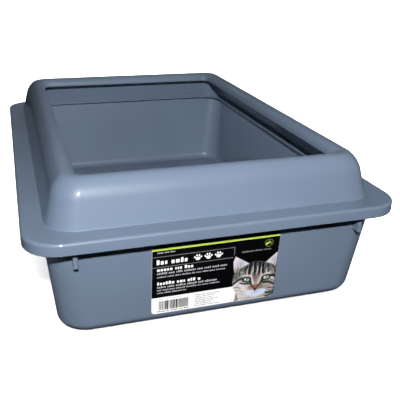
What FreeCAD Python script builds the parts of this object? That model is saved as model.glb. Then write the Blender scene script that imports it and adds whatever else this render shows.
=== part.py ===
"""Cat litter tray with a raised rim frame: an open pan, a lift-off frame that curls
over its edge to keep litter in, and a printed label on the pan's front wall.

Millimetres. Origin at the middle of the underside, X across, Y front to back (the
front short side is at -Y), Z up. An inset is the distance that an outline lies inside
the frame's outer edge, which is the same on all four sides.
"""

import FreeCAD, Part
import math
import os

import Sketcher

DIMENSIONS = {
    # the whole tray in plan
    "outer_width": 370,
    "outer_length": 528,
    # the frame's skirt and flange
    "skirt_bottom": 100,
    "flange_top": 112,
    "flange_corner": 34,
    "flange_edge_round": 3,
    "frame_wall": 2.2,
    "ledge_inset": 29,
    # the frame's raised wall: a leaning flat, a wide shoulder, a tight crest, a lip
    "wall_lean": 15,
    "shoulder_radius": 30,
    "shoulder_end": 50,
    "crest_radius": 10,
    "crest_inset": 43.9,
    "crest_height": 155.4,
    "lip_bottom": 143.9,
    # its corners: their radius at the foot, and what it loses per mm moved inward
    "foot_inset": 20.8,
    "foot_corner": 30,
    "corner_shrink": 0.62,
    # the pan
    "pan_top": 109.5,
    "pan_wall": 2.5,
    "floor_inset": 27.3,
    "wall_draft": 0.09,
    "floor_corner": 30,
    "mouth_corner": 22,
    "heel_round": 12,
    "mouth_round": 4,
    # the pan's turned-down rim, hidden under the frame
    "rim_inset": 3,
    "rim_corner": 31,
    "rim_bottom": 102,
    "rim_wall": 2.2,
    # the stacking ribs under the rim
    "rib_place": 141.4,
    "rib_width": 4.2,
    "rib_reach": 10,
    "rib_bottom": 81,
    # the label
    "label_width": 129.6,
    "label_height": 79.5,
    "label_shift": -6.2,
    "label_rise": 11.3,
    "label_corner": 4,
    "label_thickness": 0.2,
}

# equal steps of about 3.7 mm along the raised wall, so that its skin stays smooth
FLAT_STEPS = 7
SHOULDER_STEPS = 5
CREST_STEPS = 6

# the sizes that a sketch is drawn at before its constraints take over
DRAWN_HALF_WIDTH, DRAWN_HALF_LENGTH, DRAWN_CORNER = 100.0, 150.0, 20.0
DRAWN_RIB_X, DRAWN_RIB_Y = 140, 250
QUARTER_TURN = math.pi / 2

document = FreeCAD.newDocument("litter_tray")
sheet = document.addObject("Spreadsheet::Sheet", "D")
for row, (alias, value) in enumerate(DIMENSIONS.items(), start=1):
    sheet.set("A%d" % row, alias)
    sheet.set("B%d" % row, str(value))
    sheet.setAlias("B%d" % row, alias)
document.recompute()


def new_body(label):
    body = document.addObject("PartDesign::Body", label)
    body.Label = label
    return body


def new_sketch(body, name, height, plane="XY_Plane"):
    """An empty sketch at a height over one of the body's own origin planes."""
    sketch = body.newObject("Sketcher::SketchObject", name)
    support = [item for item in body.Origin.OriginFeatures if item.Role == plane]
    sketch.AttachmentSupport = [(support[0], "")]
    sketch.MapMode = "FlatFace"
    sketch.setExpression(".AttachmentOffset.Base.z", height)
    return sketch


def add_rectangle(sketch, width, length, corner, tag=""):
    """A rounded rectangle about the sketch's origin, each size an expression."""
    first = sketch.GeometryCount
    half_x, half_y, radius = DRAWN_HALF_WIDTH, DRAWN_HALF_LENGTH, DRAWN_CORNER
    x, y = half_x - radius, half_y - radius
    vector = FreeCAD.Vector
    axis = vector(0, 0, 1)
    sides = [
        (vector(-x, -half_y, 0), vector(x, -half_y, 0)),
        (vector(half_x, -y, 0), vector(half_x, y, 0)),
        (vector(x, half_y, 0), vector(-x, half_y, 0)),
        (vector(-half_x, y, 0), vector(-half_x, -y, 0)),
    ]
    centres = [vector(x, -y, 0), vector(x, y, 0), vector(-x, y, 0), vector(-x, -y, 0)]
    for start, end in sides:
        sketch.addGeometry(Part.LineSegment(start, end), False)
    for turn, centre in enumerate(centres):
        circle = Part.Circle(centre, axis, radius)
        arc = Part.ArcOfCircle(circle, (turn - 1) * QUARTER_TURN, turn * QUARTER_TURN)
        sketch.addGeometry(arc, False)
    rules = []
    for side in range(4):
        line, arc, following = first + side, first + 4 + side, first + (side + 1) % 4
        rules.append(Sketcher.Constraint("Tangent", line, 2, arc, 1))
        rules.append(Sketcher.Constraint("Tangent", arc, 2, following, 1))
    for side in range(1, 4):
        rules.append(Sketcher.Constraint("Equal", first + 4, first + 4 + side))
    rules.append(Sketcher.Constraint("Symmetric", first, 1, first, 2, -2))
    rules.append(Sketcher.Constraint("Symmetric", first + 1, 1, first + 1, 2, -1))
    rules.append(Sketcher.Constraint("Horizontal", first + 2))
    rules.append(Sketcher.Constraint("Vertical", first + 3))
    sketch.addConstraint(rules)
    sizes = (
        ("width", Sketcher.Constraint("DistanceX", first + 3, 1, first + 1, 1, 2 * half_x), width),
        ("length", Sketcher.Constraint("DistanceY", first, 1, first + 2, 1, 2 * half_y), length),
        ("corner", Sketcher.Constraint("Radius", first + 4, radius), corner),
    )
    for name, rule, size in sizes:
        index = sketch.addConstraint(rule)
        sketch.renameConstraint(index, name + tag)
        sketch.setExpression("Constraints." + name + tag, size)


def add_outline(sketch, inset, corner, tag=""):
    """A rounded rectangle that lies an inset inside the tray's outer edge."""
    width = "D.outer_width - 2 * (%s)" % inset
    length = "D.outer_length - 2 * (%s)" % inset
    add_rectangle(sketch, width, length, corner, tag)


def outline(body, name, inset, corner, height):
    sketch = new_sketch(body, name, height)
    add_outline(sketch, inset, corner)
    return sketch


def pad(body, name, sketch, length):
    feature = body.newObject("PartDesign::Pad", name)
    feature.Profile = sketch
    feature.setExpression("Length", length)
    return feature


def pocket_up(body, name, sketch, length):
    """A cut that rises from its sketch."""
    feature = body.newObject("PartDesign::Pocket", name)
    feature.Profile = sketch
    feature.Reversed = True
    feature.setExpression("Length", length)
    return feature


def loft(body, kind, name, sections, ruled):
    feature = body.newObject("PartDesign::" + kind, name)
    feature.Profile = sections[0]
    feature.Sections = sections[1:]
    feature.Ruled = ruled
    return feature


def fillet(body, name, base, chosen, radius):
    """Round the edges of base that chosen() picks."""
    document.recompute()
    edges = base.Shape.Edges
    names = ["Edge%d" % (i + 1) for i in range(len(edges)) if chosen(edges[i])]
    feature = body.newObject("PartDesign::Fillet", name)
    feature.Base = (base, names)
    feature.setExpression("Radius", radius)
    return feature


def lies_flat_at(height):
    """A test for edges that lie in the level plane at a height."""

    def test(edge):
        box = edge.BoundBox
        return abs(box.ZMin - height) < 0.01 and abs(box.ZMax - height) < 0.01

    return test


def mouth_edge(edge):
    """Whether an edge is the pan's inner top edge, not the rim's outer one."""
    box = edge.BoundBox
    reach = max(abs(box.XMin), abs(box.XMax))
    span = max(abs(box.YMin), abs(box.YMax))
    within = sheet.rim_inset + sheet.rim_wall
    inside = reach < sheet.outer_width / 2 - within and span < sheet.outer_length / 2 - within
    return inside and lies_flat_at(sheet.pan_top)(edge)


def frame_profile(depth):
    """Stations (inset, height) along the raised wall's skin, as expressions.

    depth is how far under the outer skin this one lies: 0 outside, the wall's
    thickness for the inner side. The skin leans, turns over the shoulder and over the
    tighter crest, and ends where it points straight down.
    """
    crest = "(D.crest_radius - %s)" % depth
    shoulder = "(D.shoulder_radius - %s)" % depth
    spread = "(D.shoulder_radius - D.crest_radius)"
    turn = "D.shoulder_end * 1deg"
    middle_inset = "(D.crest_inset + %s * cos(%s))" % (spread, turn)
    middle_height = "(D.crest_height - D.crest_radius - %s * sin(%s))" % (spread, turn)
    start_inset = "(%s - %s * cos(D.wall_lean * 1deg))" % (middle_inset, shoulder)
    start_height = "(%s + %s * sin(D.wall_lean * 1deg))" % (middle_height, shoulder)
    stations = []
    for step in range(FLAT_STEPS):
        part = 1 - step / FLAT_STEPS
        drop = "%s * (%s - D.flange_top)" % (part, start_height)
        inset = "%s - %s * tan(D.wall_lean * 1deg)" % (start_inset, drop)
        stations.append((inset, "%s - %s" % (start_height, drop)))
    for step in range(SHOULDER_STEPS):
        part = step / SHOULDER_STEPS
        angle = "((D.wall_lean + %s * (D.shoulder_end - D.wall_lean)) * 1deg)" % part
        inset = "%s - %s * cos%s" % (middle_inset, shoulder, angle)
        stations.append((inset, "%s + %s * sin%s" % (middle_height, shoulder, angle)))
    for step in range(CREST_STEPS + 1):
        part = step / CREST_STEPS
        angle = "((D.shoulder_end + %s * (180 - D.shoulder_end)) * 1deg)" % part
        inset = "D.crest_inset - %s * cos%s" % (crest, angle)
        height = "D.crest_height - D.crest_radius + %s * sin%s" % (crest, angle)
        stations.append((inset, height))
    return stations


def corner_at(inset):
    """The raised wall's corner radius where its skin has an inset."""
    return "D.foot_corner - D.corner_shrink * (%s - D.foot_inset)" % inset


def frame_skin(body, name, depth):
    sections = []
    for number, (inset, height) in enumerate(frame_profile(depth)):
        label = "%s_%d" % (name, number)
        sections.append(outline(body, label, inset, corner_at(inset), height))
    return sections


def make_frame():
    body = new_body("rim_frame")
    edge = outline(body, "flange_edge", "0", "D.flange_corner", "D.skirt_bottom")
    block = pad(body, "flange", edge, "D.flange_top - D.skirt_bottom")
    rounded = fillet(
        body, "flange_rounding", block, lies_flat_at(sheet.flange_top), "D.flange_edge_round"
    )
    body.Tip = rounded
    loft(body, "AdditiveLoft", "raised_wall", frame_skin(body, "outer_skin", "0"), False)
    inner = frame_skin(body, "inner_skin", "D.frame_wall")
    loft(body, "SubtractiveLoft", "hollow", inner, False)
    lip = new_sketch(body, "lip_plan", "D.lip_bottom")
    lip_outside = "D.crest_inset + D.crest_radius"
    for inset, tag in ((lip_outside, ""), (lip_outside + " - D.frame_wall", "_inside")):
        add_outline(lip, inset, corner_at(inset), tag)
    pad(body, "lip", lip, "D.crest_height - D.crest_radius - D.lip_bottom")
    skirt = outline(
        body,
        "skirt_inside",
        "D.frame_wall",
        "D.flange_corner - D.frame_wall",
        "D.skirt_bottom",
    )
    pocket_up(body, "skirt_space", skirt, "D.flange_top - D.frame_wall - D.skirt_bottom")
    corner = corner_at("D.ledge_inset")
    mouth = outline(body, "ledge_edge", "D.ledge_inset", corner, "D.skirt_bottom")
    pocket_up(body, "mouth", mouth, "D.flange_top - D.skirt_bottom")
    return body


def pan_section(body, name, depth, height):
    """The pan wall's outline at a height, depth inside its outer face."""
    rise = "(%s) / D.pan_top" % height
    inset = "D.floor_inset - D.wall_draft * (%s) + %s" % (height, depth)
    corner = "D.floor_corner + (D.mouth_corner - D.floor_corner) * %s - %s" % (rise, depth)
    return outline(body, name, inset, corner, height)


def make_pan():
    body = new_body("litter_pan")
    rim = new_sketch(body, "rim_plan", "D.rim_bottom")
    add_outline(rim, "D.rim_inset", "D.rim_corner")
    add_outline(rim, "D.rim_inset + D.rim_wall", "D.rim_corner - D.rim_wall", "_inside")
    pad(body, "rim_edge", rim, "D.pan_top - D.rim_bottom")
    top = outline(body, "rim_top", "D.rim_inset", "D.rim_corner", "D.pan_top - D.pan_wall")
    pad(body, "rim_plate", top, "D.pan_wall")
    walls = [
        pan_section(body, "wall_foot", "0", "0"),
        pan_section(body, "wall_head", "0", "D.pan_top"),
    ]
    loft(body, "AdditiveLoft", "walls", walls, True)
    ribs = new_sketch(body, "rib_plan", "D.rib_bottom")
    add_ribs(ribs)
    pad(body, "ribs", ribs, "D.pan_top - D.pan_wall / 2 - D.rib_bottom")
    hollow = [
        pan_section(body, "hollow_foot", "D.pan_wall", "D.pan_wall"),
        pan_section(body, "hollow_head", "D.pan_wall", "D.pan_top"),
    ]
    solid = loft(body, "SubtractiveLoft", "hollow_pan", hollow, True)
    floor = lies_flat_at(sheet.pan_wall)
    solid = fillet(body, "floor_rounding", solid, floor, "D.heel_round - D.pan_wall")
    solid = fillet(body, "heel", solid, lies_flat_at(0), "D.heel_round")
    fillet(body, "mouth_rounding", solid, mouth_edge, "D.mouth_round")
    return body


def add_ribs(sketch):
    """Four small rectangles that stand out from the front and back walls."""
    number = 0
    for side in (-1, 1):
        for end in (-1, 1):
            first = sketch.GeometryCount
            middle_x, middle_y = side * DRAWN_RIB_X, end * DRAWN_RIB_Y
            corners = [
                FreeCAD.Vector(middle_x + dx, middle_y + dy, 0)
                for dx, dy in ((-2, -5), (2, -5), (2, 5), (-2, 5))
            ]
            for start in range(4):
                line = Part.LineSegment(corners[start], corners[(start + 1) % 4])
                sketch.addGeometry(line, False)
            rules = []
            for start in range(4):
                following = first + (start + 1) % 4
                rules.append(Sketcher.Constraint("Coincident", first + start, 2, following, 1))
            rules.append(Sketcher.Constraint("Horizontal", first))
            rules.append(Sketcher.Constraint("Horizontal", first + 2))
            rules.append(Sketcher.Constraint("Vertical", first + 1))
            rules.append(Sketcher.Constraint("Vertical", first + 3))
            sketch.addConstraint(rules)
            foot = "(D.outer_length / 2 - D.floor_inset + D.wall_draft * D.rib_bottom)"
            low = "%s - 0.1" % foot
            high = "%s + D.rib_reach" % foot
            near, far = (low, high) if end > 0 else ("-(%s)" % high, "-(%s)" % low)
            left = "%d * D.rib_place - D.rib_width / 2" % side
            sizes = (
                ("left", Sketcher.Constraint("DistanceX", -1, 1, first, 1, middle_x - 2), left),
                ("wide", Sketcher.Constraint("DistanceX", first, 1, first, 2, 4), "D.rib_width"),
                ("near", Sketcher.Constraint("DistanceY", -1, 1, first, 1, middle_y - 5), near),
                ("far", Sketcher.Constraint("DistanceY", -1, 1, first + 2, 1, middle_y + 5), far),
            )
            for name, rule, size in sizes:
                index = sketch.addConstraint(rule)
                sketch.renameConstraint(index, "%s_%d" % (name, number))
                sketch.setExpression("Constraints.%s_%d" % (name, number), size)
            number += 1


def make_label():
    """The label lies on the drafted front wall, its sketch's Y running up the wall."""
    body = new_body("front_label")
    plan = new_sketch(body, "label_plan", "0")
    add_rectangle(plan, "D.label_width", "D.label_height", "D.label_corner")
    pad(body, "sheet", plan, "D.label_thickness")
    body.Placement.Rotation.Axis = FreeCAD.Vector(1, 0, 0)
    middle = "(D.label_rise + D.label_height / 2)"
    draft = "atan(D.wall_draft)"
    front = "D.outer_length / 2 - D.floor_inset"
    body.setExpression(".Placement.Rotation.Angle", "90deg + %s" % draft)
    body.setExpression(".Placement.Base.x", "D.label_shift")
    body.setExpression(".Placement.Base.y", "-(%s) - %s * sin(%s)" % (front, middle, draft))
    body.setExpression(".Placement.Base.z", "%s * cos(%s)" % (middle, draft))
    return body


sub_parts = [make_pan(), make_frame(), make_label()]
document.recompute()

for item in document.Objects:
    if "Invalid" in item.State or "Error" in item.State:
        raise RuntimeError("%s failed: %s" % (item.Label, item.State))
for part in sub_parts:
    if part.Shape.isNull() or not part.Shape.isValid() or len(part.Shape.Solids) != 1:
        raise RuntimeError("%s is not one valid solid" % part.Label)

os.makedirs("parts", exist_ok=True)
for part in sub_parts:
    part.Shape.exportStep("parts/%s.step" % part.Label)
    print(part.Label, round(part.Shape.Volume / 1000, 1), "cm3", part.Shape.BoundBox)
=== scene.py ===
"""Looks of a cat litter tray: a slate-blue pan, its lift-off rim frame and a label.

The shells are lofted from rounded rectangles, ring by ring, along a wall profile given
as insets from the tray's outer edge. Sizes are in millimetres and become metres where
vertices are made.
"""

import math
import random

import bmesh
import bpy
import numpy as np
from mathutils import Matrix, Vector


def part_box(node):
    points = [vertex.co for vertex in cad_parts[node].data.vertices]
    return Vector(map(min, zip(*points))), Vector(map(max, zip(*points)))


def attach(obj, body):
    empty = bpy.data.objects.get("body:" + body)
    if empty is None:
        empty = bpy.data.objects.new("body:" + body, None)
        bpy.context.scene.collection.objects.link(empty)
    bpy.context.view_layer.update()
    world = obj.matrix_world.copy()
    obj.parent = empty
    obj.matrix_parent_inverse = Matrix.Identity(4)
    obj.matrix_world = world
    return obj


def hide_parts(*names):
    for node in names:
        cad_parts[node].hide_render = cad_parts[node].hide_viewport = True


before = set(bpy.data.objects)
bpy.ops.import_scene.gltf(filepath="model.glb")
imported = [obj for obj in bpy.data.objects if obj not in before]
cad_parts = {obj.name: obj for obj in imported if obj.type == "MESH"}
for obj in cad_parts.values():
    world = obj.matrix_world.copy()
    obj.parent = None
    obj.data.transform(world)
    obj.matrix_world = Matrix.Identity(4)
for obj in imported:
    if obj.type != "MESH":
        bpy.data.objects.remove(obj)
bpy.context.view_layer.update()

MM = 0.001
frame_low, frame_high = (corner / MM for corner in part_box("rim_frame"))
pan_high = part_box("litter_pan")[1] / MM
label_low, label_high = (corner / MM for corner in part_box("front_label"))

# ---------------------------------------------------------------- driving sizes, mm

HALF_X, HALF_Y = frame_high.x, frame_high.y

# the rim frame: a skirt, a flange, and a wall that rises, rolls over and ends in a lip
SKIRT_BOTTOM, FLANGE_TOP, CREST_TOP = frame_low.z, 112.0, frame_high.z
FRAME_WALL = 2.2
WALL_LEAN, SHOULDER_END = math.radians(15), math.radians(50)
SHOULDER_R, CREST_R, CREST_INSET = 30.0, 10.0, 43.9
LIP_BOTTOM, LIP_ROUND, LEDGE_INSET = 143.9, 1.0, 29.0
FLANGE_EDGE_R = 3.0
# its plan corner radius at the skirt, inside the skirt, at the wall's foot, at the lip
FRAME_CORNER_INSETS, FRAME_CORNERS = (0, 5, 20.8, 53.9), (34, 29, 30, 9.48)

# the pan
PAN_TOP, PAN_WALL = pan_high.z, 2.5
FLOOR_INSET, DRAFT = 27.3, 0.09
FLOOR_CORNER, MOUTH_CORNER, FLOOR_BORDER = 30, 22, 30
HEEL_R, MOUTH_R = 12.0, 4.0
RIM_INSET, RIM_BOTTOM, RIM_WALL, RIM_CORNER = 3.0, 102.0, 2.2, 31
RIB_X, RIB_WIDTH, RIB_REACH, RIB_BOTTOM = 141.4, 4.2, 10.0, 81.0
RIB_ROUND, RIB_SUNK = 0.5, 1


# ---------------------------------------------------------------- node helpers


def new_material(name):
    material = bpy.data.materials.new(name)
    material.use_nodes = True
    return material, material.node_tree.nodes, material.node_tree.links


def add_node(nodes, kind, **values):
    """A shader node; a value goes to the input of that name, or to the property."""
    node = nodes.new(kind)
    for key, value in values.items():
        if key in node.inputs:
            node.inputs[key].default_value = value
        else:
            setattr(node, key, value)
    return node


# ---------------------------------------------------------------- mesh helpers


def mesh_object(name, bm, material, body, *replaced):
    bmesh.ops.recalc_face_normals(bm, faces=bm.faces)
    mesh = bpy.data.meshes.new(name)
    bm.to_mesh(mesh)
    bm.free()
    mesh.shade_smooth()
    obj = bpy.data.objects.new(name, mesh)
    bpy.context.scene.collection.objects.link(obj)
    mesh.materials.append(material)
    weighted = obj.modifiers.new("weighted", "WEIGHTED_NORMAL")
    weighted.mode = "FACE_AREA"
    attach(obj, body)
    if replaced:
        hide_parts(*replaced)
    return obj


CORNER_STEPS, SIDE_STEPS = 14, 6
SMALLEST_CORNER = 0.3


def ring(inset, height, corner):
    """Points of a rounded rectangle, an inset inside the tray's outer edge."""
    half_x, half_y = HALF_X - inset, HALF_Y - inset
    corner = max(corner, SMALLEST_CORNER)
    points = []
    centres = ((1, -1), (1, 1), (-1, 1), (-1, -1))
    for turn, (sx, sy) in enumerate(centres):
        cx, cy = sx * (half_x - corner), sy * (half_y - corner)
        for step in range(CORNER_STEPS + 1):
            angle = (turn - 1 + step / CORNER_STEPS) * math.pi / 2
            points.append((cx + corner * math.cos(angle), cy + corner * math.sin(angle)))
        nx, ny = centres[(turn + 1) % 4]
        start = Vector(points[-1])
        angle = turn * math.pi / 2
        end = Vector((nx * (half_x - corner), ny * (half_y - corner)))
        end += corner * Vector((math.cos(angle), math.sin(angle)))
        for step in range(1, SIDE_STEPS):
            points.append(tuple(start.lerp(end, step / SIDE_STEPS)))
    return [Vector((x, y, height)) * MM for x, y in points]


def rounded_path(corners, steps=6):
    """A path through (inset, height, radius) corners, each turned into an arc."""
    path = []
    for index, (x, y, radius) in enumerate(corners):
        here = Vector((x, y))
        if radius == 0 or index in (0, len(corners) - 1):
            path.append((x, y))
            continue
        before = (Vector(corners[index - 1][:2]) - here).normalized()
        after = (Vector(corners[index + 1][:2]) - here).normalized()
        half = before.angle(after) / 2
        reach = radius / math.tan(half)
        centre = here + (before + after).normalized() * (radius / math.sin(half))
        start = here + before * reach - centre
        end = here + after * reach - centre
        sweep = start.angle(end)
        for step in range(steps + 1):
            part = step / steps
            a = math.sin((1 - part) * sweep) / math.sin(sweep)
            b = math.sin(part * sweep) / math.sin(sweep)
            path.append(tuple(centre + a * start + b * end))
    return path


def loft(bm, path, corner_of, closed):
    """Quads between the rings of a profile path. Returns the rings' vertices."""
    rings = []
    for inset, height in path:
        points = ring(inset, height, corner_of(inset, height))
        rings.append([bm.verts.new(point) for point in points])
    count = len(rings[0])
    pairs = list(zip(rings, rings[1:]))
    if closed:
        pairs.append((rings[-1], rings[0]))
    for low, high in pairs:
        for index in range(count):
            following = (index + 1) % count
            bm.faces.new((low[index], low[following], high[following], high[index]))
    return rings


# ---------------------------------------------------------------- rim frame


def frame_corner(inset, height):
    """Plan corner radius: the skirt's, then the raised wall's, which tightens inward."""
    return float(np.interp(inset, FRAME_CORNER_INSETS, FRAME_CORNERS))


def raised_wall(depth, steps=10):
    """The raised wall's skin from its lean over the shoulder and crest to the lip."""
    spread = SHOULDER_R - CREST_R
    cx = CREST_INSET + spread * math.cos(SHOULDER_END)
    cz = CREST_TOP - CREST_R - spread * math.sin(SHOULDER_END)
    path = []
    shoulder, crest = SHOULDER_R - depth, CREST_R - depth
    for step in range(steps):
        angle = WALL_LEAN + (SHOULDER_END - WALL_LEAN) * step / steps
        path.append((cx - shoulder * math.cos(angle), cz + shoulder * math.sin(angle)))
    for step in range(2 * steps + 1):
        angle = SHOULDER_END + (math.pi - SHOULDER_END) * step / (2 * steps)
        path.append(
            (
                CREST_INSET - crest * math.cos(angle),
                CREST_TOP - CREST_R + crest * math.sin(angle),
            )
        )
    return path


def make_frame(material):
    outer, inner = raised_wall(0), raised_wall(FRAME_WALL)

    def foot(skin):
        """Where the leaning flat of a skin meets the flange."""
        return skin[0][0] - (skin[0][1] - FLANGE_TOP) * math.tan(WALL_LEAN)

    lip = CREST_INSET + CREST_R
    start = (FRAME_WALL, FLANGE_TOP - FRAME_WALL - 4, 0)
    rising = rounded_path(
        [
            start,
            (FRAME_WALL, SKIRT_BOTTOM, 0.6),
            (0, SKIRT_BOTTOM, 1.0),
            (0, FLANGE_TOP, FLANGE_EDGE_R),
            (foot(outer), FLANGE_TOP, 1.2),
            (outer[0][0], outer[0][1], 0),
        ]
    )
    falling = rounded_path(
        [
            (inner[0][0], inner[0][1], 0),
            (foot(inner), FLANGE_TOP, 0.8),
            (LEDGE_INSET, FLANGE_TOP, 0.9),
            (LEDGE_INSET, FLANGE_TOP - FRAME_WALL, 0.9),
            (FRAME_WALL, FLANGE_TOP - FRAME_WALL, 0.8),
            start,
        ]
    )
    lip_end = rounded_path(
        [
            (lip, LIP_BOTTOM + 1.2, 0),
            (lip, LIP_BOTTOM, LIP_ROUND),
            (lip - FRAME_WALL, LIP_BOTTOM, LIP_ROUND),
            (lip - FRAME_WALL, LIP_BOTTOM + 1.2, 0),
        ]
    )
    path = rising[:-1] + outer + lip_end + inner[::-1] + falling[1:-1]
    bm = bmesh.new()
    loft(bm, path, frame_corner, closed=True)
    return mesh_object("rim_frame_shell", bm, material, "frame", "rim_frame")


# ---------------------------------------------------------------- litter pan


def wall_inset(height):
    """How far in the pan's outer wall face is."""
    return FLOOR_INSET - DRAFT * height


def wall_corner(height):
    """Plan corner radius of that face."""
    return FLOOR_CORNER - (FLOOR_CORNER - MOUTH_CORNER) * height / PAN_TOP


def pan_corner(inset, height):
    """Plan corner radius: that of the wall at this height, or of the rim outside it."""
    wall = wall_inset(height)
    if inset >= wall:
        return wall_corner(height) - (inset - wall)
    return float(np.interp(inset, (RIM_INSET, wall), (RIM_CORNER, wall_corner(height))))


def make_pan(material):
    plate = PAN_TOP - PAN_WALL
    outside = rounded_path(
        [
            (FLOOR_INSET + FLOOR_BORDER, 0, 0),
            (FLOOR_INSET, 0, HEEL_R),
            (wall_inset(plate), plate, 1.5),
            (RIM_INSET + RIM_WALL, plate, 1.2),
            (RIM_INSET + RIM_WALL, RIM_BOTTOM, 0.7),
            (RIM_INSET, RIM_BOTTOM, 0.7),
            (RIM_INSET, PAN_TOP, 1.5),
            (wall_inset(PAN_TOP) + PAN_WALL, PAN_TOP, MOUTH_R),
            (wall_inset(PAN_WALL) + PAN_WALL, PAN_WALL, HEEL_R - PAN_WALL),
            (FLOOR_INSET + FLOOR_BORDER + 2, PAN_WALL, 0),
        ],
        steps=8,
    )
    bm = bmesh.new()
    rings = loft(bm, outside, pan_corner, closed=False)
    bm.faces.new(rings[0])
    bm.faces.new(rings[-1])
    return mesh_object("litter_pan_shell", bm, material, "pan", "litter_pan")


def make_ribs(material):
    """Four stacking ribs that stand out of the short walls, under the rim."""
    bm = bmesh.new()
    top = PAN_TOP - PAN_WALL
    wall = HALF_Y - wall_inset(RIB_BOTTOM)
    size = Vector((RIB_WIDTH, RIB_REACH + RIB_SUNK, top - RIB_BOTTOM + RIB_SUNK / 2))
    height = RIB_BOTTOM + size.z / 2
    for side in (-1, 1):
        for end in (-1, 1):
            middle = Vector((side * RIB_X, end * (wall + (RIB_REACH - RIB_SUNK) / 2), height))
            matrix = Matrix.Translation(middle * MM) @ Matrix.Diagonal((*(size * MM), 1))
            made = bmesh.ops.create_cube(bm, size=1, matrix=matrix)
            edges = list({edge for vert in made["verts"] for edge in vert.link_edges})
            bmesh.ops.bevel(
                bm, geom=edges, offset=RIB_ROUND * MM, segments=3, affect="EDGES"
            )
    return mesh_object("stacking_ribs", bm, material, "pan")


# ---------------------------------------------------------------- materials


def srgb(*values):
    """A 0 to 255 display colour as the linear colour that shaders and attributes use."""
    return tuple(
        ((v / 255 + 0.055) / 1.055) ** 2.4 if v > 10 else v / 255 / 12.92 for v in values
    )


def moulded_plastic(name, color):
    """Injection-moulded polypropylene: a soft gloss over a faint orange-peel skin."""
    material, nodes, links = new_material(name)
    shader = nodes["Principled BSDF"]
    shader.inputs["IOR"].default_value = 1.45
    shader.inputs["Specular IOR Level"].default_value = 0.35
    shader.inputs["Coat Weight"].default_value = 0.6
    shader.inputs["Coat Roughness"].default_value = 0.09
    place = add_node(nodes, "ShaderNodeTexCoord").outputs["Object"]

    def noise(scale, detail):
        node = add_node(nodes, "ShaderNodeTexNoise", Scale=scale, Detail=detail)
        links.new(place, node.inputs["Vector"])
        return node.outputs["Fac"]

    tint = add_node(nodes, "ShaderNodeValToRGB")
    ends = tint.color_ramp.elements
    ends[0].position, ends[1].position = 0.3, 0.7
    ends[0].color = (*(0.95 * c for c in color), 1)
    ends[1].color = (*(1.04 * c for c in color), 1)
    links.new(noise(11, 3), tint.inputs["Fac"])
    links.new(tint.outputs["Color"], shader.inputs["Base Color"])

    rough = add_node(nodes, "ShaderNodeMapRange")
    rough.inputs["To Min"].default_value = 0.38
    rough.inputs["To Max"].default_value = 0.5
    links.new(noise(900, 4), rough.inputs["Value"])
    links.new(rough.outputs["Result"], shader.inputs["Roughness"])

    peel = add_node(nodes, "ShaderNodeBump", Strength=0.25, Distance=0.0003)
    links.new(noise(70, 2), peel.inputs["Height"])
    grain = add_node(nodes, "ShaderNodeBump", Strength=0.1, Distance=0.00002)
    links.new(noise(1600, 2), grain.inputs["Height"])
    links.new(peel.outputs["Normal"], grain.inputs["Normal"])
    links.new(grain.outputs["Normal"], shader.inputs["Normal"])
    return material


# a Mix node's colour sockets: they share their names with its other sockets
MIX_A, MIX_B, MIX_RESULT = 6, 7, 2


def coated_print(name, color=None):
    """Ink on coated paper: a flat colour with grain, or the colours of an attribute."""
    material, nodes, links = new_material(name)
    shader = nodes["Principled BSDF"]
    shader.inputs["Specular IOR Level"].default_value = 0.12
    place = add_node(nodes, "ShaderNodeTexCoord").outputs["Object"]
    grain = add_node(nodes, "ShaderNodeTexNoise", Scale=2400, Detail=3)
    links.new(place, grain.inputs["Vector"])
    mix = add_node(nodes, "ShaderNodeMix", data_type="RGBA", blend_type="MULTIPLY")
    mix.inputs["Factor"].default_value = 0.12
    if color is None:
        paint = add_node(nodes, "ShaderNodeVertexColor", layer_name="paint")
        links.new(paint.outputs["Color"], mix.inputs[MIX_A])
    else:
        mix.inputs[MIX_A].default_value = (*color, 1)
    links.new(grain.outputs["Fac"], mix.inputs[MIX_B])
    links.new(mix.outputs[MIX_RESULT], shader.inputs["Base Color"])
    rough = add_node(nodes, "ShaderNodeMapRange")
    rough.inputs["To Min"].default_value = 0.35
    rough.inputs["To Max"].default_value = 0.5
    links.new(grain.outputs["Fac"], rough.inputs["Value"])
    links.new(rough.outputs["Result"], shader.inputs["Roughness"])
    return material


# ---------------------------------------------------------------- label print

LABEL_LEFT, LABEL_RIGHT = label_low.x, label_high.x
LABEL_FOOT, LABEL_HEAD = 11.3, 90.8
LABEL_CORNER, LABEL_THICKNESS = 4.0, 0.2
PRINT_MARGIN, INK = 0.1, 0.02
CAT_BORDER = 0.8
STRIP_TOP = 30.5
TILT = math.atan(DRAFT)


def on_label(x, s, layer):
    """A point x across and s up the drafted front wall, on an ink layer."""
    rise = LABEL_THICKNESS + INK * layer
    y = FLOOR_INSET - HALF_Y - s * math.sin(TILT) - rise * math.cos(TILT)
    return Vector((x, y, s * math.cos(TILT) - rise * math.sin(TILT))) * MM


def bar(x0, s0, x1, s1, corner=0.0):
    """Outline of a level rectangle with rounded corners."""
    if corner == 0:
        return [(x0, s0), (x1, s0), (x1, s1), (x0, s1)]
    points = []
    corners = (
        (x1, s0, -1, 1, -90),
        (x1, s1, -1, -1, 0),
        (x0, s1, 1, -1, 90),
        (x0, s0, 1, 1, 180),
    )
    for x, s, dx, ds, start in corners:
        for step in range(5):
            angle = math.radians(start + 90 * step / 4)
            cx, cs = x + dx * corner, s + ds * corner
            points.append((cx + corner * math.cos(angle), cs + corner * math.sin(angle)))
    return points


def oval(x, s, rx, rs, turn=0.0, steps=24):
    """Outline of an oval with half widths rx and rs, turned by an angle in radians."""
    cos, sin = math.cos(turn), math.sin(turn)
    points = []
    for step in range(steps):
        angle = 2 * math.pi * step / steps
        a, b = rx * math.cos(angle), rs * math.sin(angle)
        points.append((x + a * cos - b * sin, s + a * sin + b * cos))
    return points


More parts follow.
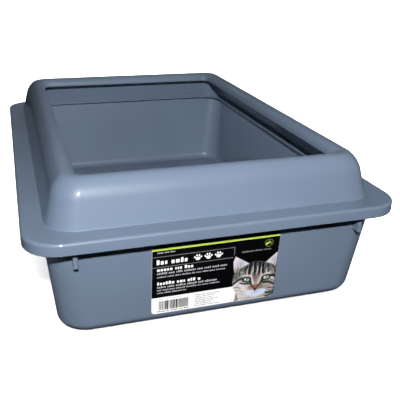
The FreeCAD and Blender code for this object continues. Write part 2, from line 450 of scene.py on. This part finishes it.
class Prints:
    """Flat printed shapes, gathered into one mesh for each ink."""

    def __init__(self):
        self.inks = {}

    def stamp(self, ink, points, layer=2):
        """A flat shape in an ink. A higher layer lies over a lower one."""
        bm = self.inks.setdefault(ink, bmesh.new())
        bm.faces.new([bm.verts.new(on_label(x, s, layer)) for x, s in points])

    def words(self, ink, x0, x1, s, height, seed, longest=8):
        """A line of blocks set like words. They stand for writing and spell nothing."""
        dice = random.Random(seed)
        x = x0
        while x < x1 - height:
            for _ in range(dice.randint(3, longest)):
                width = height * dice.uniform(0.4, 0.75)
                if x + width > x1:
                    return
                top = s + height * dice.choice((0.75, 0.75, 1.0))
                self.stamp(ink, bar(x, s, x + width, top, 0.15 * height))
                x += width + 0.22 * height
            x += 0.5 * height

    def paw(self, ink, x, s, size):
        """A paw print: a pad and four toes."""
        self.stamp(ink, oval(x, s - 0.12 * size, 0.3 * size, 0.24 * size))
        toes = ((-0.4, 0.1, 0.4), (-0.15, 0.33, 0.1), (0.15, 0.33, -0.1), (0.4, 0.1, -0.4))
        for spread, lift, turn in toes:
            toe = oval(x + spread * size, s + lift * size, 0.1 * size, 0.15 * size, turn)
            self.stamp(ink, toe)

    def finish(self, materials):
        """One piece for each ink, stuck to the pan."""
        for ink, bm in self.inks.items():
            mesh = bpy.data.meshes.new("label_print_" + ink)
            bm.to_mesh(mesh)
            bm.free()
            mesh.materials.append(materials[ink])
            obj = bpy.data.objects.new(mesh.name, mesh)
            bpy.context.scene.collection.objects.link(obj)
            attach(obj, "pan")


def make_label_print():
    """Everything printed on the label but the cat. Places are millimetres on the label."""
    prints = Prints()
    left, right = LABEL_LEFT + PRINT_MARGIN, LABEL_RIGHT - PRINT_MARGIN
    foot, head = LABEL_FOOT + PRINT_MARGIN, LABEL_HEAD - PRINT_MARGIN
    corner = LABEL_CORNER - PRINT_MARGIN

    # a black panel, square where it meets the white strip; a black edge under the cat
    panel = bar(left, STRIP_TOP, right, head, corner)
    prints.stamp("black", [*panel[5:15], (left, STRIP_TOP), (right, STRIP_TOP)], 1)
    prints.stamp("black", bar(right - 12, foot, right, STRIP_TOP + 5, corner))
    prints.stamp("green", bar(left, 84.1, right, 86.6))

    # a framed headline with paw prints
    prints.words("grey", -66, -48.5, 81, 1.9, seed=1)
    prints.stamp("dim", bar(left, 77.0, 11.5, 77.6))
    prints.stamp("dim", bar(left, 65.4, 11.5, 66.0))
    prints.stamp("dim", bar(10.9, 66.0, 11.5, 77.0))
    prints.words("white", -66.5, -32, 68.6, 5.4, seed=4, longest=5)
    for step in range(3):
        prints.paw("white", -26 + 10.5 * step, 71.2, 8)

    # two blocks of writing, and two short lines above the cat
    prints.words("white", -66, -27.5, 61.0, 3.6, seed=7, longest=6)
    prints.words("grey", -66, 5, 57.3, 2.3, seed=9)
    prints.words("grey", -66, 3, 53.6, 1.7, seed=10)
    prints.words("white", -65.7, -20.6, 45.2, 3.6, seed=12, longest=6)
    prints.words("grey", -65.7, -4, 41.5, 2.3, seed=13)
    prints.words("grey", -65.7, -2, 38.3, 1.7, seed=15)
    prints.words("grey", -65.7, -36, 35.1, 1.7, seed=16)
    prints.words("dim", 19, 51, 69.6, 1.9, seed=20)
    prints.words("dim", 23.5, 47, 65.9, 1.9, seed=21)

    # on the white strip: upright bars, and small print beside them
    dice = random.Random(5)
    x = -63.6
    while x < -34:
        width = dice.choice((0.4, 0.7, 0.7, 1.4))
        prints.stamp("black", bar(x, 15.2, x + width, 26))
        x += width + dice.choice((0.35, 0.35, 0.7))
    prints.words("black", -65, -33, 12.9, 1.4, seed=30)
    prints.words("faint", -66, -40, 28, 1.0, seed=31)
    for line in range(7):
        end = -1 - 4 * (line % 3)
        prints.words("faint", -27, end, 26.5 - 2.2 * line, 1.4, seed=40 + line)

    # two leaves in a ring
    prints.stamp("leaf", oval(47.2, 77.5, 4.4, 4.4))
    prints.stamp("black", oval(47.2, 77.5, 3.9, 3.9), 3)
    prints.stamp("leaf", oval(48.3, 78.1, 2.4, 1.0, -0.9), 4)
    prints.stamp("green", oval(45.8, 77.2, 2.6, 1.1, 0.6), 4)
    prints.finish(
        {
            "black": coated_print("ink_black", srgb(4, 4, 6)),
            "white": coated_print("ink_white", srgb(250, 250, 250)),
            "green": coated_print("ink_green", srgb(190, 216, 92)),
            "leaf": coated_print("ink_leaf", srgb(122, 142, 70)),
            "grey": coated_print("ink_grey", srgb(176, 178, 182)),
            "dim": coated_print("ink_dim", srgb(128, 128, 132)),
            "faint": coated_print("ink_faint", srgb(150, 150, 156)),
        }
    )


# ---------------------------------------------------------------- the painted cat's face

FACE_X, FACE_S = 37.2, 36.4
PICTURE_LEFT, PICTURE_HEAD = 10.6, 68.2
CELL = 0.3
HAIRS = 1900


def smooth(points, closed=True, steps=6):
    """A Catmull-Rom curve through a few points."""
    count = len(points)
    curve = []
    spans = count if closed else count - 1
    for index in range(spans):
        around = [index - 1, index, index + 1, index + 2]
        if closed:
            p = [np.array(points[k % count], float) for k in around]
        else:
            p = [np.array(points[min(max(k, 0), count - 1)], float) for k in around]
        for step in range(steps):
            t = step / steps
            curve.append(
                0.5
                * (
                    2 * p[1]
                    + (p[2] - p[0]) * t
                    + (2 * p[0] - 5 * p[1] + 4 * p[2] - p[3]) * t**2
                    + (3 * p[1] - p[0] - 3 * p[2] + p[3]) * t**3
                )
            )
    if not closed:
        curve.append(np.array(points[-1], float))
    return curve


class Painting:
    """Colours on a fine grid, laid down softly from back to front."""

    def __init__(self, x_range, s_range):
        columns = np.arange(x_range[0], x_range[1] + CELL / 2, CELL)
        rows = np.arange(s_range[0], s_range[1] + CELL / 2, CELL)
        self.x, self.s = np.meshgrid(columns, rows)
        self.u, self.v = self.x - FACE_X, self.s - FACE_S
        self.color = np.zeros((*self.x.shape, 3))
        self.within = 1.0

    def lay(self, mask, color):
        """Mix a colour in by its mask, inside the area that is open to paint."""
        self.color += (mask * self.within)[..., None] * (np.array(color) - self.color)

    def spot(self, u, v, ru, rv, color, soft=0.3, strength=1.0, turn=0.0):
        """An oval; soft is the share of its radius over which it fades."""
        a = (self.u - u) * math.cos(turn) + (self.v - v) * math.sin(turn)
        b = (self.v - v) * math.cos(turn) - (self.u - u) * math.sin(turn)
        away = np.hypot(a / ru, b / rv)
        self.lay(strength * np.clip((1 + soft / 2 - away) / soft, 0, 1), color)

    def stroke(self, points, width, color, strength=1.0, soft=0.5):
        """A brush line through the points. width goes from its first to its last value."""
        points = smooth(points, closed=False, steps=4) if len(points) > 2 else points
        best = np.full(self.u.shape, 9.0)
        spans = len(points) - 1
        for index in range(spans):
            (u0, v0), (u1, v1) = points[index], points[index + 1]
            du, dv = u1 - u0, v1 - v0
            t = ((self.u - u0) * du + (self.v - v0) * dv) / (du * du + dv * dv + 1e-9)
            t = np.clip(t, 0, 1)
            along = (index + t) / spans
            radius = (width[0] + (width[1] - width[0]) * along) / 2
            away = np.hypot(self.u - u0 - t * du, self.v - v0 - t * dv) - radius
            best = np.minimum(best, away)
        self.lay(strength * np.clip(0.5 - best / soft, 0, 1), color)

    def area(self, points, color, soft=0.6, strength=1.0):
        """A filled outline whose edge fades over soft millimetres. Returns its mask."""
        inside = np.zeros(self.u.shape, bool)
        edge = np.full(self.u.shape, 9.0)
        for (u0, v0), (u1, v1) in zip(points, [*points[1:], points[0]]):
            du, dv = u1 - u0, v1 - v0
            crosses = (v0 > self.v) != (v1 > self.v)
            inside ^= crosses & (self.u < u0 + du * (self.v - v0) / (dv or 1e-9))
            t = ((self.u - u0) * du + (self.v - v0) * dv) / (du * du + dv * dv + 1e-9)
            t = np.clip(t, 0, 1)
            edge = np.minimum(edge, np.hypot(self.u - u0 - t * du, self.v - v0 - t * dv))
        signed = np.where(inside, -edge, edge)
        mask = np.clip(0.5 - signed / soft, 0, 1)
        self.lay(strength * mask, color)
        return mask


def paint_cat():
    """A tabby cat's face; u and v are millimetres from the middle between its eyes."""
    right = LABEL_RIGHT - PRINT_MARGIN - CAT_BORDER
    foot = LABEL_FOOT + PRINT_MARGIN + CAT_BORDER / 2
    art = Painting((PICTURE_LEFT, right), (foot, PICTURE_HEAD))
    backdrop = np.where(art.s < STRIP_TOP, 0.9, 0.001)
    art.color[:] = backdrop[..., None]

    dark, black = srgb(34, 36, 42), srgb(5, 6, 9)
    fur, pale, slate = srgb(116, 114, 106), srgb(218, 206, 202), srgb(112, 122, 136)
    white, pink, tan = srgb(208, 217, 236), srgb(206, 197, 207), srgb(196, 168, 152)
    brown, maroon = srgb(136, 92, 68), srgb(46, 20, 20)

    # the ears
    for side, tip, base in ((-1, (-24.4, 29.6), (-8.6, 18.6)), (1, (21.5, 30), (8.0, 17.4))):
        outer = [tip, (side * 26.2, 23.6), (side * 25.2, 15), (side * 23, 8), (side * 9, 14)]
        art.within = art.area([base, *outer], pale, 0.7)
        inner = ((12.5, 18.4), (22.8, 27.2), (24.6, 21.5), (23.6, 14.4), (17, 12.5))
        art.area(smooth([(side * u, v) for u, v in inner]), pink, 1.6)
        art.spot(side * 18.5, 20, 3.4, 5.2, slate, soft=1.6, strength=0.5, turn=side * 0.5)
        art.spot(side * 21.6, 13.6, 3.4, 3.0, brown, soft=1.2, strength=0.75)
        for step in range(7):
            u = 12.5 + 1.6 * step
            hair = [(side * u, 15.5 - 0.4 * step), (side * (u + 1.6), 20.5 + 0.3 * step)]
            art.stroke(hair, (0.5, 0.2), dark if step % 2 else white, 0.5, soft=0.5)
        art.within = 1.0
        art.stroke([base, tip], (1.1, 0.5), white, 0.75)

    # the head, which all that follows stays inside
    head = smooth(
        [(0, 20.9), (6.5, 19.2), (12, 17.4), (19, 13.4), (24.2, 7), (25.2, -3.4), (23.6, -9)]
        + [(21.8, -14), (21.4, -20), (21.8, -30), (0, -31), (-21.8, -30), (-21.2, -20)]
        + [(-21.4, -14), (-23.4, -9), (-25.1, -3.4), (-25.2, 5), (-22, 12.6)]
        + [(-13, 17.6), (-7, 20.6)]
    )
    art.within = art.area(head, fur, 0.9)

    # its patches of colour
    art.spot(-23.4, 9, 3, 7, dark, soft=1.2, strength=0.7)
    art.spot(0, 14.2, 14.5, 8.8, dark, soft=0.7, strength=0.95)
    art.spot(-17.5, -8, 9.5, 6.5, pale, soft=0.8, strength=0.95)
    art.spot(-13, -17, 10, 8, pale, soft=0.8, strength=0.9)
    art.spot(17, -12, 8.5, 7, srgb(158, 146, 140), soft=0.9, strength=0.85)
    art.spot(0, -25.5, 17, 4.5, srgb(196, 170, 156), soft=0.8, strength=0.9)
    art.spot(-18, -24, 5, 6, pale, soft=0.9, strength=0.9)
    art.spot(0, -2.6, 4.2, 7, srgb(158, 138, 128), soft=0.8, strength=0.9)
    art.spot(-0.4, 2.4, 2.4, 5, srgb(92, 82, 78), soft=1.0, strength=0.85)
    art.spot(-5.6, -9.4, 3, 3.2, brown, soft=1.2, strength=0.7)
    art.spot(4.6, -9.4, 2.6, 3, brown, soft=1.2, strength=0.7)
    for side in (-1, 1):
        art.spot(1 + side * 5.4, -17.4, 6.8, 3.5, white, soft=0.7)
    art.spot(1, -20.2, 6.2, 2.6, white, soft=0.8)

    # short hairs that point away from the nose
    dice = random.Random(11)
    for _ in range(HAIRS):
        u, v = dice.uniform(-25.4, 22), dice.uniform(-25.5, 20.4)
        out = Vector((u * 0.8, v + 9 + 0.1 * abs(u))).normalized()
        reach = dice.uniform(1.2, 3.2)
        shade = dice.choice((pale, dark, white, fur, black))
        tip = (u + out.x * reach, v + out.y * reach)
        art.stroke([(u, v), tip], (0.5, 0.1), shade, dice.uniform(0.1, 0.36), soft=0.5)

    # the forehead's slate hairs, black stripes and pale streaks
    for u, v, tilt in (
        (-7.2, 18, -0.8),
        (-4.8, 19.4, -0.4),
        (-0.6, 18.8, 0),
        (1.2, 16.4, 0.1),
    ):
        art.stroke([(u, v), (u - tilt, v - 3.2)], (0.7, 0.3), slate, 0.8, soft=0.5)
    for u, v, tilt in (
        (4.6, 17.4, 0.4),
        (8.4, 15.2, 0.8),
        (9.6, 11.6, 0.4),
        (-9.8, 14.4, -0.6),
    ):
        art.stroke([(u, v), (u - tilt, v - 3.6)], (0.9, 0.4), slate, 0.85, soft=0.5)
    stripes = (
        ((-6.9, 20), (-7.9, 13.8), (-8.2, 7.4), 2.8, 2.0),
        ((-2.6, 20), (-2.4, 12.1), (-1.9, 3.4), 2.4, 1.2),
        ((2.6, 18.6), (2.9, 11.3), (2.5, 3.6), 2.4, 1.2),
        ((6.4, 17), (6.4, 9.9), (7.8, 4.2), 2.6, 2.0),
        ((-11.6, 16.8), (-12.8, 12), (-12.4, 7.4), 1.5, 0.9),
        ((11.4, 15.2), (13.2, 11), (13.0, 6.4), 1.5, 0.9),
        ((-16.4, 14.8), (-18.8, 10.6), (-18.4, 6), 1.2, 0.8),
        ((16.8, 13.4), (19.4, 9.6), (20.2, 5), 1.4, 0.9),
    )
    for top, middle, foot, wide, narrow in stripes:
        art.stroke([top, middle, foot], (wide, narrow), black, 0.95, soft=0.7)
    for streak in (
        [(-5.3, 11.4), (-5.4, 7), (-6.0, 3.6)],
        [(-4.7, 15.2), (-4.3, 11.6), (-4.4, 8.8)],
        [(0.5, 14.2), (0.3, 10.4), (0.2, 6.4)],
        [(4.8, 13.4), (4.4, 9), (5.4, 4)],
        [(-10.4, 12.6), (-10.5, 9), (-10.2, 5.6)],
        [(10.2, 9.6), (10.6, 7), (10.8, 5)],
    ):
        art.stroke(streak, (0.8, 0.9), pale, 0.9, soft=0.6)
    art.stroke([(-5.9, 4.6), (-4.2, -1), (-2.4, -6)], (1.4, 1.8), pale, 0.9, soft=1.0)
    art.stroke([(5.5, 4), (3.9, -0.8), (2.4, -5.8)], (1.4, 1.6), pale, 0.9, soft=1.0)

    # the lines of the temples and cheeks
    art.stroke([(-14.2, 2.2), (-18.8, 1.3), (-25, -3.6)], (1.7, 2.2), black)
    art.stroke([(14.4, 0.9), (18.3, 1.5), (25, -1.6)], (2.0, 2.6), black)
    art.stroke([(-16.6, -0.8), (-20.6, -2.6), (-24.4, -6.6)], (1.2, 1.6), white, 0.7, soft=0.9)
    art.stroke([(16, -1.2), (18.8, -2.4), (21, -4.6)], (2.0, 1.6), pale, 0.9, soft=0.9)
    art.stroke([(-17.6, -2.6), (-13.4, -4.5), (-8.2, -4.9)], (1.4, 2.4), black, 0.95, soft=0.7)
    art.stroke([(-16.4, -6.6), (-12.4, -7.4), (-8.4, -7)], (1.2, 0.8), white, 0.7, soft=0.8)
    art.stroke([(8.4, -5.6), (14.7, -6.5), (22.8, -11.2)], (2.6, 1.8), black, 0.95, soft=0.7)
    art.stroke([(9.6, -8.8), (13.6, -9.4), (17.4, -11.2)], (1.2, 1.2), tan, 0.8, soft=0.9)
    art.stroke([(-24.4, -8.2), (-20, -7.6), (-16.4, -9.8)], (1.2, 0.7), black, 0.85, soft=0.6)
    art.stroke([(-22.4, -11.8), (-17.4, -12), (-12.8, -14.6)], (0.8, 0.5), dark, 0.8, soft=0.6)
    art.stroke([(-21, -16.2), (-16, -16.8), (-11, -19.6)], (0.7, 0.5), brown, 0.6, soft=0.6)
    art.stroke([(13.6, -13), (18, -14.2), (23, -15.4)], (1.3, 1.5), dark, 0.85, soft=0.8)
    art.stroke([(12.2, -19), (16.9, -19.6), (22.7, -17)], (2.2, 2.8), black, 0.95, soft=0.8)
    art.stroke([(11, -23.8), (15.4, -23.4), (20.9, -21)], (1.4, 2.0), dark, 0.9, soft=0.8)
    art.stroke([(-20.2, -16.4), (-20.4, -19.6)], (0.6, 2.6), dark, 0.85, soft=0.7)
    art.spot(-20, -22.8, 2.2, 2.6, srgb(126, 118, 84), soft=0.8, strength=0.9)

    # the eyes
    for side, u, v, slant in ((-1, -10.3, 0.4, -0.2), (1, 11.0, -0.1, 0.16)):
        art.spot(u + side * 0.4, v + 4.2, 5.0, 1.5, pale, soft=0.9, strength=0.8, turn=slant)
        art.spot(u, v, 5.2, 3.7, black, soft=0.2, turn=slant)
        art.stroke([(u - side * 3.6, v - 1.8), (side * 5.0, -7)], (2.4, 1.5), black, 0.95)
        art.spot(u, v - 0.1, 3.5, 2.3, srgb(108, 132, 122), soft=0.25, turn=slant)
        art.spot(u, v - 0.6, 2.3, 1.2, srgb(178, 196, 186), soft=0.7, turn=slant)
        art.spot(u, v, 0.65, 1.8, black, soft=0.4)
        art.spot(u - 1.5, v + 0.5, 0.9, 0.8, srgb(248, 250, 252), soft=0.5)

    # the nose, the mouth and the whiskers
    nose = [(-4.9, -7.8), (0, -9), (4.3, -8.1), (1.8, -12.6), (0, -14.8), (-1.8, -12.6)]
    art.area(smooth(nose), maroon, 0.8)
    art.spot(-0.2, -10.4, 2.5, 1.4, srgb(142, 88, 70), soft=0.6)
    art.stroke([(0, -13.8), (0.2, -16.6)], (0.9, 0.5), maroon, 0.85)
    for side in (-1, 1):
        lip = [(0, -16.4), (side * 2.6, -17.6), (side * 5.6, -17)]
        art.stroke(lip, (0.6, 0.3), slate, 0.8, soft=0.4)
        for drop in (0, 1, 2):
            start = (side * (6 + drop), -14 - 1.4 * drop)
            bend = (side * 15, -12.5 - 2.8 * drop)
            tip = (side * 25, -9.5 - 4.6 * drop)
            art.stroke([start, bend, tip], (0.4, 0.2), white, 0.5, soft=0.4)
    return art


def make_cat():
    """The painted grid as a mesh, its outer corner rounded like the label's."""
    art = paint_cat()
    rows, columns = art.x.shape
    radius = LABEL_CORNER - PRINT_MARGIN - CAT_BORDER
    cx, cs = art.x.max() - radius, art.s.min() + radius
    away = np.hypot(art.x - cx, art.s - cs)
    outside = (art.x > cx) & (art.s < cs) & (away > radius)
    scale = np.where(outside, radius / np.maximum(away, 1e-6), 1)
    xs, ss = cx + (art.x - cx) * scale, cs + (art.s - cs) * scale
    verts = [on_label(x, s, 3) for x, s in zip(xs.ravel(), ss.ravel())]
    beyond = outside.ravel()
    faces = []
    for row in range(rows - 1):
        for k in range(row * columns, row * columns + columns - 1):
            face = (k, k + 1, k + columns + 1, k + columns)
            if not beyond[list(face)].all():
                faces.append(face)
    mesh = bpy.data.meshes.new("label_cat")
    mesh.from_pydata(verts, [], faces)
    paint = mesh.color_attributes.new("paint", "FLOAT_COLOR", "POINT")
    colors = np.concatenate([art.color, np.ones((rows, columns, 1))], axis=2)
    paint.data.foreach_set("color", colors.astype(np.float32).ravel())
    bm = bmesh.new()
    bm.from_mesh(mesh)
    bmesh.ops.remove_doubles(bm, verts=bm.verts, dist=0.001 * MM)
    loose = [vert for vert in bm.verts if not vert.link_faces]
    bmesh.ops.delete(bm, geom=loose, context="VERTS")
    bm.to_mesh(mesh)
    bm.free()
    mesh.materials.append(coated_print("ink_cat"))
    obj = bpy.data.objects.new("label_cat", mesh)
    bpy.context.scene.collection.objects.link(obj)
    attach(obj, "pan")


# ---------------------------------------------------------------- floor, lights, camera


FLOOR_HALF, FLOOR_DROP, DOME_RADIUS = 30, 0.0002, 28


def stage_piece(name, bm, glow):
    """Part of the pale set: it is seen, but neither lights nor mirrors in the object."""
    mesh = bpy.data.meshes.new(name)
    bm.to_mesh(mesh)
    bm.free()
    piece = bpy.data.objects.new(name, mesh)
    bpy.context.scene.collection.objects.link(piece)
    material, nodes, _ = new_material(name)
    inputs = nodes["Principled BSDF"].inputs
    inputs["Base Color"].default_value = (0.85, 0.85, 0.86, 1)
    inputs["Roughness"].default_value = 0.8
    inputs["Emission Color"].default_value = (1, 1, 1, 1)
    inputs["Emission Strength"].default_value = glow
    mesh.materials.append(material)
    piece.visible_diffuse = False
    piece.visible_glossy = False
    return piece


def make_stage():
    """A white floor, and a white dome round it. Returns the floor."""
    bm = bmesh.new()
    bmesh.ops.create_grid(bm, x_segments=1, y_segments=1, size=FLOOR_HALF)
    floor = stage_piece("floor", bm, 0)
    floor.location.z = -FLOOR_DROP
    bm = bmesh.new()
    bmesh.ops.create_icosphere(bm, subdivisions=3, radius=DOME_RADIUS)
    dome = stage_piece("dome", bm, 1)
    dome.visible_shadow = False
    return floor


CAMERA_PLACE = Vector((-0.17961, -0.71117, 0.33746))
CAMERA_YAW, CAMERA_PITCH, CAMERA_ROLL = (math.radians(v) for v in (-18.24, -22.81, 1.33))
CAMERA_LENS = 52.66  # on a sensor 36 mm wide


def make_camera():
    """Looks down on the front left corner; yaw turns from +Y, pitch is downward."""
    forward = Vector(
        (
            -math.sin(CAMERA_YAW) * math.cos(CAMERA_PITCH),
            math.cos(CAMERA_YAW) * math.cos(CAMERA_PITCH),
            math.sin(CAMERA_PITCH),
        )
    )
    level = Vector((math.cos(CAMERA_YAW), math.sin(CAMERA_YAW), 0))
    upright = level.cross(forward)
    right = level * math.cos(CAMERA_ROLL) + upright * math.sin(CAMERA_ROLL)
    up = -level * math.sin(CAMERA_ROLL) + upright * math.cos(CAMERA_ROLL)
    data = bpy.data.cameras.new("camera")
    data.lens = CAMERA_LENS
    camera = bpy.data.objects.new("camera", data)
    axes = Matrix((right, up, -forward)).transposed()
    camera.matrix_world = Matrix.Translation(CAMERA_PLACE) @ axes.to_4x4()
    bpy.context.scene.collection.objects.link(camera)
    bpy.context.scene.camera = camera


def add_area_light(name, place, target, size, energy):
    """A square light of that size in metres and energy in watts, aimed at the target."""
    data = bpy.data.lights.new(name, "AREA")
    data.size = size
    data.energy = energy
    light = bpy.data.objects.new(name, data)
    light.location = place
    light.rotation_mode = "QUATERNION"
    light.rotation_quaternion = (target - place).to_track_quat("-Z", "Y")
    bpy.context.scene.collection.objects.link(light)
    return light


def light_only(light, pieces):
    """Let a light fall on these pieces alone."""
    lit = bpy.data.collections.new(light.name + "_receivers")
    for piece in pieces:
        lit.objects.link(piece)
    light.light_linking.receiver_collection = lit


KEY_SIZE, KEY_ENERGY = 0.03, 11.6
SOFT_SIZE = 1.2


def light_scene(floor, pan_pieces):
    """A small key light where a camera's flash would be, soft fills, a dim sky."""
    middle = Vector((0, 0, 0.08))
    add_area_light("key", Vector((-0.2, -0.83, 0.54)), middle, KEY_SIZE, KEY_ENERGY)
    add_area_light("back_rim", Vector((-0.9, 1.3, 1.7)), middle, SOFT_SIZE, 1.1)
    fills = {}
    for name, place, energy in (
        ("left_fill", Vector((-2.0, 0.2, 0.25)), 16),
        ("right_fill", Vector((2.0, -0.2, 0.3)), 28),
        ("back_fill", Vector((0.2, 2.2, 0.3)), 75),
        ("high_fill", Vector((0.1, 1.4, 1.7)), 3),
    ):
        fills[name] = add_area_light(name, place, middle, SOFT_SIZE, energy)
        fills[name].visible_glossy = False
    light_only(fills["left_fill"], pan_pieces)
    wash = bpy.data.objects.new("floor_wash", bpy.data.lights.new("floor_wash", "SUN"))
    wash.data.energy = 8
    wash.data.angle = math.radians(100)
    bpy.context.scene.collection.objects.link(wash)
    light_only(wash, [floor])

    light_sky()


def light_sky():
    """A dim, slightly blue sky that grows brighter towards the top."""
    world = bpy.data.worlds.new("studio")
    world.use_nodes = True
    nodes, links = world.node_tree.nodes, world.node_tree.links
    place = add_node(nodes, "ShaderNodeTexCoord")
    split = add_node(nodes, "ShaderNodeSeparateXYZ")
    ramp = add_node(nodes, "ShaderNodeMapRange")
    ramp.inputs["From Min"].default_value = -0.15
    square = add_node(nodes, "ShaderNodeMath", operation="POWER")
    square.inputs[1].default_value = 2
    sky = add_node(nodes, "ShaderNodeMath", operation="MULTIPLY_ADD")
    sky.inputs[1].default_value = 0.05
    sky.inputs[2].default_value = 0.01
    links.new(place.outputs["Generated"], split.inputs[0])
    links.new(split.outputs["Z"], ramp.inputs["Value"])
    links.new(ramp.outputs["Result"], square.inputs[0])
    links.new(square.outputs["Value"], sky.inputs[0])
    links.new(sky.outputs["Value"], nodes["Background"].inputs["Strength"])
    nodes["Background"].inputs["Color"].default_value = (0.95, 0.97, 1, 1)
    bpy.context.scene.world = world


SLATE_BLUE = (0.129, 0.171, 0.237)

make_camera()
plastic = moulded_plastic("slate_plastic", SLATE_BLUE)
make_frame(plastic)
pan_pieces = [make_pan(plastic), make_ribs(plastic)]
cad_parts["front_label"].material_slots[0].material = coated_print(
    "label_paper", srgb(248, 248, 246)
)
make_label_print()
make_cat()
light_scene(make_stage(), pan_pieces)
bpy.context.scene.view_settings.view_transform = "Standard"
